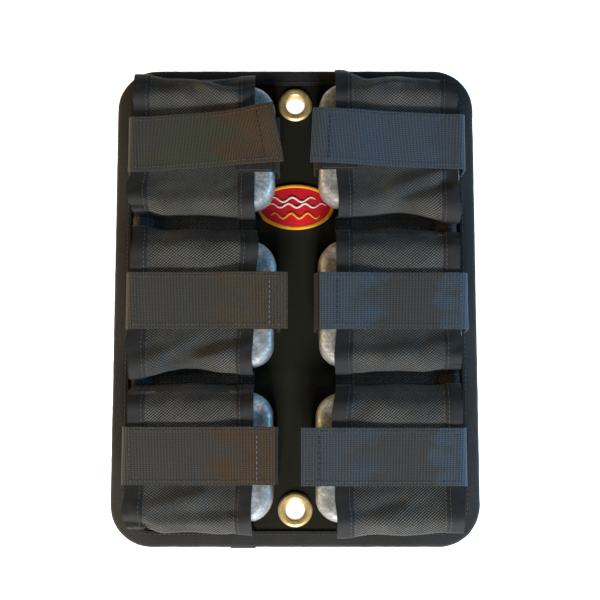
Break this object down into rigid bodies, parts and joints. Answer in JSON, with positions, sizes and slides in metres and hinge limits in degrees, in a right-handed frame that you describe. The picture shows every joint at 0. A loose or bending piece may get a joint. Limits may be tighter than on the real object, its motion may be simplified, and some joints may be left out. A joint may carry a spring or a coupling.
{
  "type": "dive weight pad",
  "caption": "Stiff fabric pad for a diver's backplate, with pockets that hold block weights under hook and loop straps, and grommets for the bolts.",
  "frame": {"origin": "under the middle of the pad, at the lowest face of its edge binding", "axes": "+Z out of the pad's front, away from the backplate; +Y towards the pad's top edge; +X to the right seen from the front"},
  "size_m": [0.248, 0.329, 0.0332],
  "materials": {
    "back_cloth": "matte",
    "board": "satin",
    "panel_cloth": "matte",
    "binding": "matte",
    "badge": "matte",
    "sleeve_cloth": "matte",
    "brass": "satin",
    "lead": "matte",
    "webbing": "matte",
    "hook": "matte",
    "loop": "matte"
  },
  "bodies": {
    "pad": {"back_cloth": "back_cloth", "stiffener_board": "board", "front_cloth": "panel_cloth", "edge_binding": "binding", "badge": "badge", "sleeve_strip_left": "sleeve_cloth", "sleeve_strip_right": "sleeve_cloth", "grommet_top": "brass", "grommet_washer_top": "brass", "grommet_bottom": "brass", "grommet_washer_bottom": "brass", "strap_base_top_left": "webbing", "strap_base_middle_left": "webbing", "strap_base_bottom_left": "webbing", "strap_base_top_right": "webbing", "strap_base_middle_right": "webbing", "strap_base_bottom_right": "webbing"},
    "flap_top_left": {"strap_flap_top_left": "webbing", "hook_tape_top_left": "hook"},
    "tab_top_left": {"strap_tab_top_left": "webbing", "loop_tape_top_left": "loop"},
    "weight_top_left": {"lead_weight_top_left": "lead"},
    "flap_middle_left": {"strap_flap_middle_left": "webbing", "hook_tape_middle_left": "hook"},
    "tab_middle_left": {"strap_tab_middle_left": "webbing", "loop_tape_middle_left": "loop"},
    "weight_middle_left": {"lead_weight_middle_left": "lead"},
    "flap_bottom_left": {"strap_flap_bottom_left": "webbing", "hook_tape_bottom_left": "hook"},
    "tab_bottom_left": {"strap_tab_bottom_left": "webbing", "loop_tape_bottom_left": "loop"},
    "weight_bottom_left": {"lead_weight_bottom_left": "lead"},
    "flap_top_right": {"strap_flap_top_right": "webbing", "hook_tape_top_right": "hook"},
    "tab_top_right": {"strap_tab_top_right": "webbing", "loop_tape_top_right": "loop"},
    "weight_top_right": {"lead_weight_top_right": "lead"},
    "flap_middle_right": {"strap_flap_middle_right": "webbing", "hook_tape_middle_right": "hook"},
    "tab_middle_right": {"strap_tab_middle_right": "webbing", "loop_tape_middle_right": "loop"},
    "weight_middle_right": {"lead_weight_middle_right": "lead"},
    "flap_bottom_right": {"strap_flap_bottom_right": "webbing", "hook_tape_bottom_right": "hook"},
    "tab_bottom_right": {"strap_tab_bottom_right": "webbing", "loop_tape_bottom_right": "loop"},
    "weight_bottom_right": {"lead_weight_bottom_right": "lead"}
  },
  "joints": [
    {"name": "flap_fold_top_left", "type": "hinge", "parent": "pad", "child": "flap_top_left", "pos_m": [-0.11355, 0.1055, 0.0278], "axis": [0, -1, 0], "range_deg": [0, 175]},
    {"name": "tab_fold_top_left", "type": "hinge", "parent": "pad", "child": "tab_top_left", "pos_m": [-0.01045, 0.1055, 0.0268], "axis": [0, 1, 0], "range_deg": [0, 90]},
    {"name": "weight_shift_top_left", "type": "slide", "parent": "pad", "child": "weight_top_left", "axis": [1, 0, 0], "range_m": [-0.0008, 0.0008]},
    {"name": "flap_fold_middle_left", "type": "hinge", "parent": "pad", "child": "flap_middle_left", "pos_m": [-0.11315, -0.0015, 0.0278], "axis": [0, -1, 0], "range_deg": [0, 175]},
    {"name": "tab_fold_middle_left", "type": "hinge", "parent": "pad", "child": "tab_middle_left", "pos_m": [-0.01005, -0.0015, 0.0268], "axis": [0, 1, 0], "range_deg": [0, 90]},
    {"name": "weight_shift_middle_left", "type": "slide", "parent": "pad", "child": "weight_middle_left", "axis": [1, 0, 0], "range_m": [-0.0003, 0.0003]},
    {"name": "flap_fold_bottom_left", "type": "hinge", "parent": "pad", "child": "flap_bottom_left", "pos_m": [-0.11425, -0.1045, 0.0278], "axis": [0, -1, 0], "range_deg": [0, 175]},
    {"name": "tab_fold_bottom_left", "type": "hinge", "parent": "pad", "child": "tab_bottom_left", "pos_m": [-0.01115, -0.1045, 0.0268], "axis": [0, 1, 0], "range_deg": [0, 90]},
    {"name": "weight_shift_bottom_left", "type": "slide", "parent": "pad", "child": "weight_bottom_left", "axis": [1, 0, 0], "range_m": [-0.0008, 0.0008]},
    {"name": "flap_fold_top_right", "type": "hinge", "parent": "pad", "child": "flap_top_right", "pos_m": [0.11565, 0.1072, 0.0278], "axis": [0, 1, 0], "range_deg": [0, 175]},
    {"name": "tab_fold_top_right", "type": "hinge", "parent": "pad", "child": "tab_top_right", "pos_m": [0.01255, 0.1072, 0.0268], "axis": [0, -1, 0], "range_deg": [0, 90]},
    {"name": "weight_shift_top_right", "type": "slide", "parent": "pad", "child": "weight_top_right", "axis": [1, 0, 0], "range_m": [-0.0008, 0.0008]},
    {"name": "flap_fold_middle_right", "type": "hinge", "parent": "pad", "child": "flap_middle_right", "pos_m": [0.11565, -0.0018, 0.0278], "axis": [0, 1, 0], "range_deg": [0, 175]},
    {"name": "tab_fold_middle_right", "type": "hinge", "parent": "pad", "child": "tab_middle_right", "pos_m": [0.01255, -0.0018, 0.0268], "axis": [0, -1, 0], "range_deg": [0, 90]},
    {"name": "weight_shift_middle_right", "type": "slide", "parent": "pad", "child": "weight_middle_right", "axis": [1, 0, 0], "range_m": [-0.0008, 0.0008]},
    {"name": "flap_fold_bottom_right", "type": "hinge", "parent": "pad", "child": "flap_bottom_right", "pos_m": [0.11315, -0.1052, 0.0278], "axis": [0, 1, 0], "range_deg": [0, 175]},
    {"name": "tab_fold_bottom_right", "type": "hinge", "parent": "pad", "child": "tab_bottom_right", "pos_m": [0.01005, -0.1052, 0.0268], "axis": [0, -1, 0], "range_deg": [0, 90]},
    {"name": "weight_shift_bottom_right", "type": "slide", "parent": "pad", "child": "weight_bottom_right", "axis": [1, 0, 0], "range_m": [-0.0008, 0.0008]}
  ],
  "couplings": [
    {"joint": "tab_fold_top_left", "follows": "flap_fold_top_left", "ratio": 0.5},
    {"joint": "tab_fold_middle_left", "follows": "flap_fold_middle_left", "ratio": 0.5},
    {"joint": "tab_fold_bottom_left", "follows": "flap_fold_bottom_left", "ratio": 0.5},
    {"joint": "tab_fold_top_right", "follows": "flap_fold_top_right", "ratio": 0.5},
    {"joint": "tab_fold_middle_right", "follows": "flap_fold_middle_right", "ratio": 0.5},
    {"joint": "tab_fold_bottom_right", "follows": "flap_fold_bottom_right", "ratio": 0.5}
  ]
}
